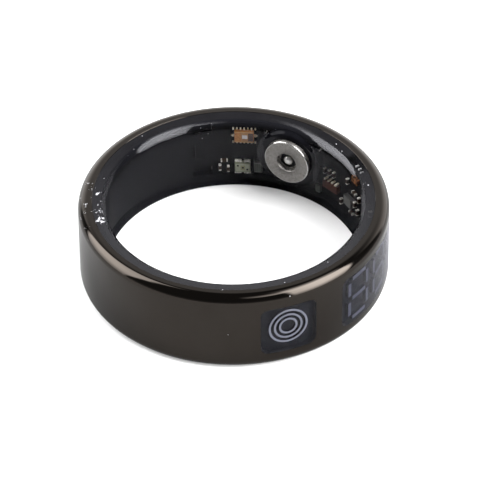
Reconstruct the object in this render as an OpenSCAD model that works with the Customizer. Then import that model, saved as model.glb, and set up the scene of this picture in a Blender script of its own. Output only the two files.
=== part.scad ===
// Smart ring: a wide band with a black shell outside and clear resin inside.
// The ring axis is +Z and the base lies on z = 0. The touch key looks towards -Y, the display
// towards +X, and the optical sensor lies on the opposite inner wall, towards +Y.
// Azimuth is measured about +Z from +X. Heights along the axis are measured from mid width.

/* [Band] */
// Diameter of the finger hole at mid width
bore_d = 20.6; // [19:0.1:23]
// Wall from the finger hole to the outer face
wall = 2.4; // [2.35:0.05:2.8]
// Width of the band along its axis
width = 7.3; // [7.3:0.1:9]
// Radius of the two outer edges of the shell
outer_edge_r = 0.77; // [0.3:0.01:0.78]
// Swell of the inner wall towards the finger
comfort_swell = 0.15; // [0.05:0.01:0.2]
// Radius of the two inner lips of the resin
lip_r = 0.55; // [0.3:0.05:0.7]

/* [Shell] */
// Thickness of the shell behind its outer face
shell_web = 0.5; // [0.4:0.05:0.5]
// Depth of the shell rims from the outer face towards the axis
rim_depth = 1.16; // [1.1:0.02:1.2]
// Thickness of each rim along the axis
rim_t = 0.75; // [0.65:0.01:0.76]
// Drop of the resin below the metal rim where they meet
land_step = 0.03; // [0.01:0.01:0.06]
// Slope of the resin land down to the lip, in degrees
land_slope = 9; // [2:1:12]
// Radius of the corners of both windows
window_corner = 0.7; // [0.4:0.05:0.9]

/* [Touch key] */
// Azimuth of the touch window centre
touch_az = -70; // [-74:1:-68]
// Width of the touch window round the band
touch_w = 4.75; // [4.2:0.05:5]
// Distance from each edge of the band to the touch window
touch_edge = 1.375; // [1.3:0.005:1.6]
// Margin from the largest light ring to the long edges of the window
touch_ring_margin = 0.595; // [0.5:0.005:0.8]
// Width of each light ring
touch_stroke = 0.21; // [0.15:0.01:0.24]

/* [Display] */
// Azimuth of the display centre
display_az = -9.6; // [-11:0.1:-9]
// Distance from each edge of the band to the display window
display_edge = 1.2; // [1.18:0.01:1.4]
// Margin from the digits to the long edges of the window
digit_margin = 0.25; // [0.23:0.01:0.45]
// Width of a digit
digit_w = 2.78; // [2.5:0.02:2.9]
// Width of a digit segment
digit_stroke = 0.35; // [0.25:0.01:0.4]
// Gap between neighbouring segments
segment_gap = 0.17; // [0.12:0.01:0.2]
// Gap between the two digits of a pair
digit_gap = 0.9; // [0.8:0.05:1]
// Gap between the digits on either side of the colon
colon_gap = 2; // [1.7:0.05:2.1]
// Margin from the outer digits to the ends of the window
display_margin = 0.9; // [0.8:0.05:1.2]

/* [Charging contact] */
// Azimuth of the contact
contact_az = 62.6; // [60:0.2:65]
// Height of the contact axis above mid width
contact_z = 0.5; // [0.2:0.05:0.6]
// Diameter of the contact face
contact_d = 4.1; // [4:0.05:4.4]
// Diameter of the hole in the contact face
contact_hole_d = 1.75; // [1.6:0.05:1.9]
// Diameter of the centre pin
pin_d = 0.85; // [0.6:0.05:1]
// Height of the contact face inside the finger hole
contact_proud = 0.7; // [0.5:0.05:0.8]

/* [Electronics] */
// Thickness of the flexible board
board_t = 0.18; // [0.14:0.01:0.2]
// Gap from each edge of the flexible board to the shell rim
board_gap = 0.2; // [0.15:0.01:0.25]
// Thickness of the battery cell
cell_t = 1.26; // [1:0.02:1.28]
// Inset of the battery cell from each edge of the board
cell_inset = 0.1; // [0.05:0.01:0.3]
// Width of the optical sensor round the band
sensor_w = 1.64; // [1.4:0.02:1.8]
// Height of the optical sensor along the axis
sensor_h = 1.15; // [1:0.05:1.3]
// Width of the light source package
emitter_w = 1.34; // [1.2:0.02:1.5]
// Height of the light source package
emitter_h = 1; // [0.8:0.05:1.1]

/* [Hidden] */

$fn = 96;

// Overrun of every cut past the face that it opens
over = 0.3;
// Clearance of a part in its seat
fit = 0.03;
// Thickness of a solder joint or an adhesive film
bond = 0.02;

// Band
mid = width / 2;
bore_r = bore_d / 2;
outer_r = bore_r + wall;
web_r = outer_r - shell_web;
rim_r = outer_r - rim_depth;
groove_h = width - 2 * rim_t;
board_w = groove_h - 2 * board_gap;
rim_round_w = rim_depth + outer_edge_r;

// Inner wall: a shallow arc that swells towards the finger
swell_half = mid - lip_r;
swell_r = (pow(swell_half, 2) + pow(comfort_swell, 2)) / (2 * comfort_swell);
swell_c = bore_r + swell_r;
swell_steps = 16;

// Lip: the circle that touches both the swell arc and the sloping land
land_rise = tan(land_slope);
lip_base = mid - land_step - rim_r * land_rise - lip_r / cos(land_slope);
lip_a = 1 + pow(land_rise, 2);
lip_b = lip_base * land_rise - swell_c;
lip_c = pow(swell_c, 2) + pow(lip_base, 2) - pow(swell_r - lip_r, 2);
lip_centre_r = (-lip_b - sqrt(pow(lip_b, 2) - lip_a * lip_c)) / lip_a;
lip_centre_z = lip_base + land_rise * lip_centre_r;
lip_wall_angle = asin(lip_centre_z / (swell_r - lip_r));
lip_steps = 8;

// Stack behind the windows, from the shell inwards
gasket_t = 0.1;
gasket_border = 0.3;
gasket_in_r = web_r - gasket_t;
guide_t = 0.18;
guide_in_r = gasket_in_r - guide_t;
board_out_r = rim_r;
board_in_r = board_out_r - board_t;
daughter_t = 0.18;
daughter_border = 0.15;
daughter_out_r = board_out_r + daughter_t;
led_t = 0.15;

// Windows narrower than twice this angle are cut straight along one radius
short_window_deg = 15;
// Angle kept free past each end of a window
window_past_deg = 5;
// Angle kept free past each end of a part in its resin pocket
pocket_past_deg = 1;

// Touch key
touch_z = -0.05;
touch_h = width - 2 * touch_edge;
touch_ring_d = touch_h - 2 * touch_ring_margin;
touch_pitch_share = 0.1295;
touch_pitch = touch_pitch_share * touch_ring_d;
touch_half_deg = asin(touch_w / 2 / outer_r);
touch_lens = [touch_az - touch_half_deg, touch_az + touch_half_deg, touch_z, touch_h, window_corner];
touch_ring_count = 3;
touch_groove = 0.2;
touch_led_w = 0.6;
touch_led_h = 0.4;
electrode_t = 0.05;
electrode_inset = 0.5;
touch_led_margin = 0.1645;
touch_led_z = touch_h / 2 - electrode_inset - touch_led_margin - touch_led_h / 2;

// Display: four digits and a colon, all segments alike
display_h = width - 2 * display_edge;
digit_h = display_h - 2 * digit_margin;
segment_rise = 0.34;
segment_out_r = web_r + segment_rise;
digits_z = -0.16;
half_pair_deg = mm_deg((digit_w + colon_gap) / 2);
digit_pitch_deg = mm_deg(digit_w + digit_gap);
digit_az = [
    display_az - half_pair_deg - digit_pitch_deg,
    display_az - half_pair_deg,
    display_az + half_pair_deg,
    display_az + half_pair_deg + digit_pitch_deg
];
display_half_deg = half_pair_deg + digit_pitch_deg + mm_deg(digit_w / 2 + display_margin);
display_lens = [display_az - display_half_deg, display_az + display_half_deg, 0, display_h, window_corner];
bar_len = digit_w - 2 * digit_stroke - 2 * segment_gap;
post_len = (digit_h - 3 * digit_stroke) / 2 - 2 * segment_gap;
bar_z = (digit_h - digit_stroke) / 2;
post_deg = mm_deg((digit_w - digit_stroke) / 2);
colon_share = 0.21;
segment_die = 0.2;

// Flexible board: each stretch has its two azimuths and its share of the board width
board_az_lo = -116;
board_az_hi = 106;
board_stretch_shares = [
    [board_az_lo, -90, 0.84],
    [-92, -53, 1],
    [-54, -49, 0.62],
    [-50, 99, 1],
    [98, board_az_hi, 0.7]
];
board_pocket_h = board_w + 2 * bond;
stiffener_t = 0.12;
stiffener_az = [[53, 72], [75, 99]];
stiffener_share = 0.9;

// Battery
cell_gap = 0.08;
cell_w = board_w - 2 * cell_inset;
cell_az_lo = 112;
cell_az_hi = 236;
cell_out_r = web_r - cell_gap;
cell_in_r = cell_out_r - cell_t;
cell_corner = 0.25;
wrap_t = 0.06;
wrap_az_lo = 108.4;
wrap_az_hi = 238;
tab_t = 0.06;
tab_w = 0.9;
tab_share = 0.445;
tab_z = tab_share * board_w / 2;
tab_overlap_deg = 3;
turn_deg = 360;
protection_az_hi = turn_deg + board_az_lo;

// Parts that stand on the inner face of the board lie in pockets of the resin
pocket_skin = 0.22;
pocket_in_r = bore_r + comfort_swell + pocket_skin;
component_pocket_az = [[73, wrap_az_lo - 0.5], [15, 53], [-115, 14]];

// Optical sensor group
sensor_az = 85.2;
sensor_share = 0.507;
sensor_z = sensor_share * board_w / 2;
sensor_t = 0.35;
sensor_recess = 0.12;
sensor_die_w = 0.36;
sensor_die_h = 0.4;
sensor_pads = 7;
sensor_pad_pitch = 0.31;
sensor_pad_w = 0.13;
sensor_pad_h = 0.22;
sensor_pad_t = 0.12;
sensor_ear_w = 0.3;
sensor_ear_h = 0.4;
emitter_az = 85.9;
emitter_t = 0.4;
emitter_cup = 0.16;
emitter_cup_h = 0.5;
emitter_rim = 0.12;
emitter_pad_w = 0.56;
emitter_pad_h = 0.22;
emitter_pad_t = 0.3;
emitter_margin = 0.1;
emitter_z = emitter_margin + emitter_pad_h + emitter_h / 2 - board_w / 2;
emitter_die = 0.22;
emitter_die_pitch = 0.36;

// Charging contact, measured from its face outwards
contact_face_r = bore_r - contact_proud;
contact_flange_t = 0.42;
contact_chamfer = 0.1;
contact_neck_d = 3.3;
contact_depth = 1.3;
contact_step_d = 1.45;
carrier_d = 3.9;
carrier_seat_r = flat_seat(carrier_d);
carrier_face_r = contact_face_r + contact_flange_t + bond;
contact_foot_r = contact_face_r + contact_depth;
mound_base_d = 5.4;
mound_top_d = 4.6;
insulator_sink = 0.5;
pin_sink = 0.18;
pin_tip = 0.2;
pin_face_r = contact_face_r + pin_sink;
lead_w = 0.5;
lead_spread = 1.2;
lead_seat_r = flat_seat(2 * lead_spread + lead_w);

// Chips: azimuth, height as a share of half the board, width round the band, height, thickness
radio_az = -34;
radio_share = 0.02;
radio_w = 2.4;
radio_h = 2.6;
radio_t = 0.5;
charger_az = -60;
charger_share = 0.1;
charger_w = 1.8;
charger_h = 1.8;
charger_t = 0.45;
memory_az = -11;
memory_share = -0.1;
memory_w = 1.7;
memory_h = 2.1;
memory_t = 0.4;
driver_az = 12;
driver_share = 0.1;
driver_w = 1.7;
driver_h = 2.3;
driver_t = 0.4;
motion_az = 42.4;
motion_share = -0.43;
motion_w = 1.7;
motion_h = 0.8;
motion_t = 0.45;
oscillator_az = 30.4;
oscillator_share = -0.5;
oscillator_w = 1.1;
oscillator_h = 0.9;
oscillator_t = 0.4;
inductor_az = -78;
inductor_share = -0.05;
inductor_w = 1.6;
inductor_h = 2;
inductor_t = 0.55;
antenna_az = -100;
antenna_share = 0;
antenna_w = 1;
antenna_h = 3.2;
antenna_t = 0.5;
thermistor_az = 25.4;
thermistor_share = 0.56;
thermistor_w = 0.9;
thermistor_h = 0.5;
thermistor_t = 0.3;
motion_pads = 4;
motion_pad_pitch = 0.42;
motion_pad = 0.16;

// Photodiodes: a tall one beside the light source and a small one beyond the contact
detector_t = 0.35;
detector_az = 79.1;
detector_share = -0.67;
detector_w = 0.71;
detector_h = 1;
side_detector_az = 50.2;
side_detector_share = -0.82;
side_detector_w = 0.45;
side_detector_h = 0.8;

// Capacitors: azimuth, height as a share of half the board, and 1 where one lies round the band
capacitor_l = 0.6;
capacitor_w = 0.3;
capacitor_t = 0.3;
capacitor_end = 0.14;
capacitor_shares = [
    [46.9, -0.02, 0], [44.2, 0, 0], [41.5, 0.01, 0], [50, 0, 1], [49.9, 0.58, 0],
    [36.5, -0.79, 0], [32.1, 0.2, 0], [26.5, 0, 1], [22, -0.05, 0], [26, -0.42, 0],
    [28.6, -0.87, 1], [23.4, -0.6, 0], [93.9, -0.46, 1], [95.8, -0.72, 0], [92.2, -0.79, 0],
    [74.2, 0.72, 1], [-20, 0.55, 0], [-20, -0.55, 0], [3, 0.5, 0], [3, -0.5, 0],
    [-46, 0.6, 0], [-46, -0.6, 0], [-67.6, 0.6, 1], [-67.6, -0.6, 1], [-88, 0.4, 0]
];

// Ground clips between the top edge of the board and the rim of the shell
clip_az = [21.6, 24, 26.3];
clip_w = 0.14;
clip_t = 0.14;
clip_reach = 0.45;
clip_gap = 0.02;
clip_z = groove_h / 2 - clip_gap - clip_t / 2;
clip_set_back = 0.1;
clip_in_r = board_in_r - clip_set_back;

// Test pads
test_pad_d = 0.5;
test_pad_t = 0.05;
test_pad_az = [-24.5, -16.5];
test_pad_shares = [-0.2, 0.2];

function mm_deg(length) = length / outer_r * 180 / PI;
// Radius at which a flat part, w wide, sits in the curve of the board
function flat_seat(w) = sqrt(pow(board_in_r, 2) - pow(w / 2, 2)) - bond;
function arc_points(cx, cy, r, a0, a1, steps) =
    [for (i = [0:steps]) let (a = a0 + (a1 - a0) * i / steps) [cx + r * cos(a), cy + r * sin(a)]];
function mirrored(points) = [for (i = [len(points) - 1:-1:0]) [points[i][0], -points[i][1]]];

// Curved plate between two radii and two azimuths, h high about the height z
module sector(r_in, r_out, z, h, az_lo, az_hi) {
    translate([0, 0, mid + z - h / 2])
        rotate([0, 0, az_lo])
            rotate_extrude(angle = az_hi - az_lo)
                translate([r_in, 0])
                    square([r_out - r_in, h]);
}

module tube(r_in, r_out, z, h) {
    translate([0, 0, mid + z - h / 2])
        rotate_extrude()
            translate([r_in, 0])
                square([r_out - r_in, h]);
}

module rounded_rect(a, b, corner) {
    square([a - 2 * corner, b], center = true);
    square([a, b - 2 * corner], center = true);
    for (x = [-1, 1], y = [-1, 1])
        translate([x * (a / 2 - corner), y * (b / 2 - corner)])
            circle(corner);
}

// Block across the radius at an azimuth: w round the band, h along the axis, side for a shift
module radial_block(az, z, w, h, r_in, r_out, side = 0) {
    rotate([0, 0, az])
        translate([r_in, side - w / 2, mid + z - h / 2])
            cube([r_out - r_in, w, h]);
}

// Frame whose +Z points outwards along a radius of the band
module radial_axis(az, z) {
    rotate([0, 0, az])
        translate([0, 0, mid + z])
            rotate([0, 90, 0])
                children();
}

// Curved plate with rounded corners, grown by g: lens is [az_lo, az_hi, z, height, corner].
// A short one is one prism along its middle radius; a long one has a prism at each end.
module window_plate(lens, g, r_in, r_out) {
    half_deg = (lens[1] - lens[0]) / 2;
    end_deg = min(asin(2 * lens[4] / outer_r), half_deg / 2);
    short = half_deg < short_window_deg;
    prism_deg = short ? half_deg : end_deg;
    plate_h = lens[3] + 2 * g;
    ends = short ? [lens[0] + half_deg] : [lens[0] + end_deg, lens[1] - end_deg];
    intersection() {
        sector(r_in, r_out, lens[2], width, lens[0] - window_past_deg, lens[1] + window_past_deg);
        union() {
            if (!short)
                sector(bore_r, outer_r + over, lens[2], plate_h, ends[0], ends[1]);
            for (az = ends)
                radial_axis(az, lens[2])
                    translate([0, 0, bore_r])
                        linear_extrude(outer_r + over - bore_r)
                            rounded_rect(plate_h, 2 * outer_r * sin(prism_deg) + 2 * g, lens[4] + g);
        }
    }
}

// The seven bars of each digit and the two colon dots, grown by g, between two radii
module digit_bars(g, r_in, r_out) {
    stroke = digit_stroke + 2 * g;
    for (az = digit_az) {
        for (k = [-1, 0, 1])
            radial_block(az, digits_z + k * bar_z, bar_len + 2 * g, stroke, r_in, r_out);
        for (s = [-1, 1], k = [-1, 1])
            radial_block(az + s * post_deg, digits_z + k * bar_z / 2, stroke, post_len + 2 * g, r_in, r_out);
    }
    for (k = [-1, 1])
        radial_block(display_az, digits_z + k * colon_share * digit_h, stroke, stroke, r_in, r_out);
}

// The concentric rings of the touch key, grown by g, between two radii
module touch_rings(g, r_in, r_out) {
    for (k = [0:touch_ring_count - 1]) {
        ring_r = touch_ring_d / 2 - k * touch_pitch;
        radial_axis(touch_az, touch_z)
            translate([0, 0, r_in])
                difference() {
                    cylinder(h = r_out - r_in, r = ring_r + g);
                    translate([0, 0, -over])
                        cylinder(h = r_out - r_in + 2 * over, r = ring_r - touch_stroke - g);
                }
    }
}

// Chip on the inner face of the board: w round the band, h along the axis, t thick
module chip(az, share, w, h, t) {
    seat = flat_seat(w);
    radial_block(az, share * board_w / 2, w, h, seat - t, seat);
}

module outer_shell() color("#3a3531")
    difference() {
        rotate_extrude()
            difference() {
                intersection() {
                    translate([outer_r - rim_round_w / 2, mid])
                        rounded_rect(rim_round_w, width, outer_edge_r);
                    translate([rim_r, 0])
                        square([rim_depth, width]);
                }
                translate([rim_r - over, rim_t])
                    square([rim_depth - shell_web + over, groove_h]);
            }
        window_plate(touch_lens, 0, web_r - over, outer_r + over);
        window_plate(display_lens, 0, web_r - over, outer_r + over);
    }

module liner_profile() {
    lip = arc_points(lip_centre_r, lip_centre_z, lip_r, 90 + land_slope, 180 - lip_wall_angle, lip_steps);
    half = concat([[web_r, groove_h / 2], [rim_r, groove_h / 2], [rim_r, mid - land_step]], lip);
    swell = arc_points(swell_c, 0, swell_r, 180 - lip_wall_angle, 180 + lip_wall_angle, swell_steps);
    inner = [for (i = [1:swell_steps - 1]) swell[i]];
    translate([0, mid])
        polygon(concat(half, inner, mirrored(half)));
}

module resin_liner() color("#2b2b30", 0.6)
    difference() {
        union() {
            rotate_extrude()
                liner_profile();
            radial_axis(contact_az, contact_z)
                translate([0, 0, carrier_face_r])
                    cylinder(h = board_in_r - carrier_face_r, d1 = mound_top_d, d2 = mound_base_d);
        }
        sector(board_in_r - bond, board_out_r + bond, 0, board_pocket_h, cell_az_hi - turn_deg,
            board_az_hi + pocket_past_deg);
        for (lens = [touch_lens, display_lens])
            sector(board_out_r, web_r + over, 0, groove_h - 2 * bond, lens[0] - window_past_deg,
                lens[1] + window_past_deg);
        for (s = stiffener_az)
            sector(board_out_r, board_out_r + stiffener_t + bond, 0, stiffener_share * board_w + 2 * bond,
                s[0] - pocket_past_deg, s[1] + pocket_past_deg);
        sector(cell_in_r - wrap_t - bond, web_r + over, 0, cell_w + 2 * bond,
            wrap_az_lo - pocket_past_deg, wrap_az_hi + pocket_past_deg);
        for (p = component_pocket_az)
            sector(pocket_in_r, board_out_r, 0, board_w, p[0], p[1]);
        sector(clip_in_r - bond, clip_in_r + clip_reach + bond, 0, groove_h,
            clip_az[0] - pocket_past_deg, clip_az[2] + pocket_past_deg);
        radial_axis(contact_az, contact_z)
            translate([0, 0, contact_face_r - over])
                cylinder(h = board_in_r - contact_face_r + over, d = carrier_d + 2 * bond);
    }

module touch_window() color("#15181f")
    difference() {
        window_plate(touch_lens, -fit, web_r, outer_r);
        touch_rings(bond, web_r - over, web_r + touch_groove + bond);
    }

module touch_window_gasket() color("#202020")
    difference() {
        window_plate(touch_lens, gasket_border, gasket_in_r, web_r);
        window_plate(touch_lens, fit, gasket_in_r - over, web_r + over);
    }

module touch_light_mask() color("#0c0c0e")
    difference() {
        window_plate(touch_lens, -fit, gasket_in_r, web_r);
        touch_rings(bond, gasket_in_r - over, web_r + over);
    }

module touch_ring_lights() color("#9aa0b4")
    touch_rings(0, gasket_in_r + bond, web_r + touch_groove);

module touch_light_guide() color("#e8e8ee")
    window_plate(touch_lens, gasket_border, guide_in_r, gasket_in_r);

module touch_leds() color("#f2efe0")
    for (k = [-1, 1])
        radial_block(touch_az, touch_z + k * touch_led_z, touch_led_w, touch_led_h,
            daughter_out_r, daughter_out_r + led_t);

module touch_electrode() color("#c07840")
    difference() {
        window_plate(touch_lens, -electrode_inset, daughter_out_r, daughter_out_r + electrode_t);
        for (k = [-1, 1])
            radial_block(touch_az, touch_z + k * touch_led_z, touch_led_w + 2 * fit,
                touch_led_h + 2 * fit, daughter_out_r - over, daughter_out_r + over);
    }

module touch_board() color("#1c1c1c")
    window_plate(touch_lens, daughter_border, board_out_r, daughter_out_r);

module display_window() color("#14161c")
    difference() {
        window_plate(display_lens, -fit, web_r, outer_r);
        digit_bars(bond, web_r - over, segment_out_r + bond);
    }

module display_window_gasket() color("#202020")
    difference() {
        window_plate(display_lens, gasket_border, gasket_in_r, web_r);
        window_plate(display_lens, fit, gasket_in_r - over, web_r + over);
    }

module display_light_mask() color("#0c0c0e")
    difference() {
        union() {
            window_plate(display_lens, gasket_border, guide_in_r, gasket_in_r);
            window_plate(display_lens, -fit, guide_in_r, web_r);
        }
        digit_bars(bond, guide_in_r - over, web_r + over);
    }

module display_segments() color("#8d90a2")
    digit_bars(0, guide_in_r + bond, segment_out_r);

module display_led_dies() color("#f0e8d0") {
    for (az = digit_az) {
        for (k = [-1, 0, 1])
            radial_block(az, digits_z + k * bar_z, segment_die, segment_die,
                daughter_out_r, daughter_out_r + led_t);
        for (s = [-1, 1], k = [-1, 1])
            radial_block(az + s * post_deg, digits_z + k * bar_z / 2, segment_die, segment_die,
                daughter_out_r, daughter_out_r + led_t);
    }
    for (k = [-1, 1])
        radial_block(display_az, digits_z + k * colon_share * digit_h, segment_die, segment_die,
            daughter_out_r, daughter_out_r + led_t);
}

module display_board() color("#1c1c1c")
    window_plate(display_lens, daughter_border, board_out_r, daughter_out_r);

module main_flex_board() color("#151417")
    for (b = board_stretch_shares)
        sector(board_in_r, board_out_r, 0, b[2] * board_w, b[0], b[1]);

module board_stiffener() color("#8c8e92")
    for (s = stiffener_az)
        sector(board_out_r, board_out_r + stiffener_t, 0, stiffener_share * board_w, s[0], s[1]);

module battery_cell() color("#b4b6ba")
    translate([0, 0, mid])
        rotate([0, 0, cell_az_lo])
            rotate_extrude(angle = cell_az_hi - cell_az_lo)
                translate([cell_in_r + cell_t / 2, 0])
                    rounded_rect(cell_t, cell_w, cell_corner);

module battery_wrap() color("#101012")
    sector(cell_in_r - wrap_t, cell_in_r, 0, cell_w, wrap_az_lo, wrap_az_hi);

module battery_tabs() color("#c9c9c4")
    for (k = [-1, 1])
        sector(board_in_r - tab_t, board_in_r, k * tab_z, tab_w, board_az_hi - tab_overlap_deg, cell_az_lo);

module battery_protection_board() color("#23402c")
    sector(board_in_r, board_out_r, 0, board_stretch_shares[0][2] * board_w, cell_az_hi, protection_az_hi);

module optical_sensor() color("#b06a2c") {
    seat = flat_seat(sensor_w);
    difference() {
        radial_block(sensor_az, sensor_z, sensor_w, sensor_h, seat - sensor_t, seat);
        radial_block(sensor_az, sensor_z, sensor_die_w + 2 * bond, sensor_die_h + 2 * bond,
            seat - sensor_t - over, seat - sensor_t + sensor_recess);
    }
}

module optical_sensor_die() color("#d8d8dc") {
    seat = flat_seat(sensor_w);
    radial_block(sensor_az, sensor_z, sensor_die_w, sensor_die_h,
        seat - sensor_t, seat - sensor_t + sensor_recess);
}

module optical_sensor_pads() color("#d9b36a") {
    seat = flat_seat(sensor_w + 2 * sensor_ear_w);
    for (k = [-1, 1], i = [0:sensor_pads - 1])
        radial_block(sensor_az, sensor_z + k * (sensor_h / 2 + bond + sensor_pad_h / 2), sensor_pad_w,
            sensor_pad_h, seat - sensor_pad_t, seat, (i - (sensor_pads - 1) / 2) * sensor_pad_pitch);
    for (s = [-1, 1])
        radial_axis(sensor_az, sensor_z)
            translate([0, s * (sensor_w / 2 + bond), seat - sensor_pad_t])
                linear_extrude(sensor_pad_t)
                    polygon([[-sensor_ear_h / 2, 0], [sensor_ear_h / 2, 0], [0, s * sensor_ear_w]]);
}

module sensor_led_package() color("#c9cdb4") {
    seat = flat_seat(emitter_w);
    difference() {
        radial_block(emitter_az, emitter_z, emitter_w, emitter_h, seat - emitter_t, seat);
        radial_block(emitter_az, emitter_z, emitter_w - 2 * emitter_rim, emitter_cup_h,
            seat - emitter_t - over, seat - emitter_t + emitter_cup);
    }
}

module sensor_led_terminals() color("#d8d8c4") {
    seat = flat_seat(emitter_w);
    pad_z = (emitter_h + emitter_pad_h) / 2;
    for (k = [-1, 1], s = [-1, 1])
        radial_block(emitter_az, emitter_z + k * pad_z, emitter_pad_w, emitter_pad_h,
            seat - emitter_pad_t, seat, s * (emitter_w - emitter_pad_w) / 2);
}

module sensor_led_dies() color("#3c3a28") {
    floor_r = flat_seat(emitter_w) - emitter_t + emitter_cup;
    for (i = [-1, 0, 1])
        radial_block(emitter_az, emitter_z, emitter_die, emitter_die,
            floor_r - emitter_cup / 2, floor_r, i * emitter_die_pitch);
}

module photodiodes() color("#4a5246") {
    chip(detector_az, detector_share, detector_w, detector_h, detector_t);
    chip(side_detector_az, side_detector_share, side_detector_w, side_detector_h, detector_t);
}

module contact_carrier() color("#101010")
    radial_axis(contact_az, contact_z)
        difference() {
            translate([0, 0, carrier_face_r])
                cylinder(h = carrier_seat_r - carrier_face_r, d = carrier_d);
            translate([0, 0, carrier_face_r - over])
                cylinder(h = contact_foot_r - carrier_face_r + over, d = contact_neck_d + 2 * fit);
            translate([0, 0, contact_foot_r - over])
                cylinder(h = carrier_seat_r - contact_foot_r + 2 * over, d = pin_d + 2 * fit);
            for (s = [-1, 1])
                translate([-lead_w / 2 - fit, s * lead_spread - lead_w / 2 - fit, contact_foot_r - over])
                    cube([lead_w + 2 * fit, lead_w + 2 * fit, carrier_seat_r - contact_foot_r + 2 * over]);
        }

module contact_ring() color("#8f8c86")
    radial_axis(contact_az, contact_z)
        translate([0, 0, contact_face_r])
            rotate_extrude()
                polygon([
                    [contact_hole_d / 2, 0], [contact_d / 2 - contact_chamfer, 0],
                    [contact_d / 2, contact_chamfer], [contact_d / 2, contact_flange_t],
                    [contact_neck_d / 2, contact_flange_t], [contact_neck_d / 2, contact_depth],
                    [contact_step_d / 2, contact_depth], [contact_step_d / 2, contact_flange_t],
                    [contact_hole_d / 2, contact_flange_t]
                ]);

module contact_insulator() color("#0e0e10")
    radial_axis(contact_az, contact_z)
        translate([0, 0, contact_face_r + insulator_sink])
            difference() {
                cylinder(h = contact_depth - insulator_sink, d = contact_step_d - 2 * fit);
                translate([0, 0, -over])
                    cylinder(h = contact_depth - insulator_sink + 2 * over, d = pin_d + 2 * fit);
            }

module contact_pin() color("#a9a49a")
    radial_axis(contact_az, contact_z)
        rotate_extrude()
            polygon(concat(
                [[0, flat_seat(pin_d)], [0, pin_face_r]],
                arc_points(pin_d / 2 - pin_tip, pin_face_r + pin_tip, pin_tip, -90, 0, lip_steps),
                [[pin_d / 2, flat_seat(pin_d)]]));

module contact_leads() color("#b98d4a")
    for (s = [-1, 1])
        radial_block(contact_az, contact_z, lead_w, lead_w, contact_foot_r, lead_seat_r, s * lead_spread);

module radio_chip() color("#1b1b1e")
    chip(radio_az, radio_share, radio_w, radio_h, radio_t);

module motion_sensor() color("#4a2a20")
    chip(motion_az, motion_share, motion_w, motion_h, motion_t);

module motion_sensor_pads() color("#d9c9a0") {
    seat = flat_seat(motion_w);
    pad_z = motion_share * board_w / 2 + (motion_h + motion_pad) / 2;
    for (i = [0:motion_pads - 1])
        radial_block(motion_az, pad_z, motion_pad, motion_pad, seat - motion_t, seat,
            (i - (motion_pads - 1) / 2) * motion_pad_pitch);
}

module charger_chip() color("#1b1b1e")
    chip(charger_az, charger_share, charger_w, charger_h, charger_t);

module memory_chip() color("#202024")
    chip(memory_az, memory_share, memory_w, memory_h, memory_t);

module crystal() color("#8a8d80")
    chip(oscillator_az, oscillator_share, oscillator_w, oscillator_h, oscillator_t);

// One capacitor: its body with ends = false, its two soldered ends with ends = true
module capacitor(p, ends) {
    seat = flat_seat(capacitor_l);
    body_l = capacitor_l - 2 * capacitor_end;
    piece_l = ends ? capacitor_end : body_l;
    step = (capacitor_l - capacitor_end) / 2;
    for (k = ends ? [-1, 1] : [0])
        radial_block(p[0], p[1] * board_w / 2 + (p[2] == 1 ? 0 : k * step),
            p[2] == 1 ? piece_l : capacitor_w, p[2] == 1 ? capacitor_w : piece_l,
            seat - capacitor_t, seat, p[2] == 1 ? k * step : 0);
}

module ceramic_capacitors() color("#7a6248")
    for (p = capacitor_shares)
        capacitor(p, false);

module capacitor_terminals() color("#d4d2cc")
    for (p = capacitor_shares)
        capacitor(p, true);

module power_inductor() color("#5a5a5e")
    chip(inductor_az, inductor_share, inductor_w, inductor_h, inductor_t);

module chip_antenna() color("#d8d4c8")
    chip(antenna_az, antenna_share, antenna_w, antenna_h, antenna_t);

module temperature_sensor() color("#a8642c")
    chip(thermistor_az, thermistor_share, thermistor_w, thermistor_h, thermistor_t);

module display_driver_chip() color("#1b1b1e")
    chip(driver_az, driver_share, driver_w, driver_h, driver_t);

module ground_clips() color("#e2c27a") {
    for (az = clip_az)
        radial_block(az, clip_z, clip_w, clip_t, clip_in_r, clip_in_r + clip_reach);
    sector(clip_in_r + clip_w / 2, clip_in_r + 1.5 * clip_w, clip_z, clip_t, clip_az[0], clip_az[2]);
}

module test_pads() color("#d9b36a")
    for (az = test_pad_az, s = test_pad_shares)
        radial_axis(az, s * board_w / 2)
            translate([0, 0, flat_seat(test_pad_d) - test_pad_t])
                cylinder(h = test_pad_t, d = test_pad_d);

outer_shell();
resin_liner();
touch_window();
touch_window_gasket();
touch_light_mask();
touch_ring_lights();
touch_light_guide();
touch_leds();
touch_electrode();
touch_board();
display_window();
display_window_gasket();
display_light_mask();
display_segments();
display_led_dies();
display_board();
main_flex_board();
board_stiffener();
battery_cell();
battery_wrap();
battery_tabs();
battery_protection_board();
optical_sensor();
optical_sensor_die();
optical_sensor_pads();
sensor_led_package();
sensor_led_terminals();
sensor_led_dies();
photodiodes();
contact_carrier();
contact_ring();
contact_insulator();
contact_pin();
contact_leads();
radio_chip();
motion_sensor();
motion_sensor_pads();
charger_chip();
memory_chip();
crystal();
ceramic_capacitors();
capacitor_terminals();
power_inductor();
chip_antenna();
temperature_sensor();
display_driver_chip();
ground_clips();
test_pads();
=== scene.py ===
"""Smart ring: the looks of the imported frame.

Sizes are written in millimetres, angles in degrees; meshes are made in metres.
Azimuth is measured about +Z from +X, heights from the middle of the band.
"""
import math

import bmesh
import bpy
import numpy as np
from mathutils import Matrix, Vector


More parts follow.
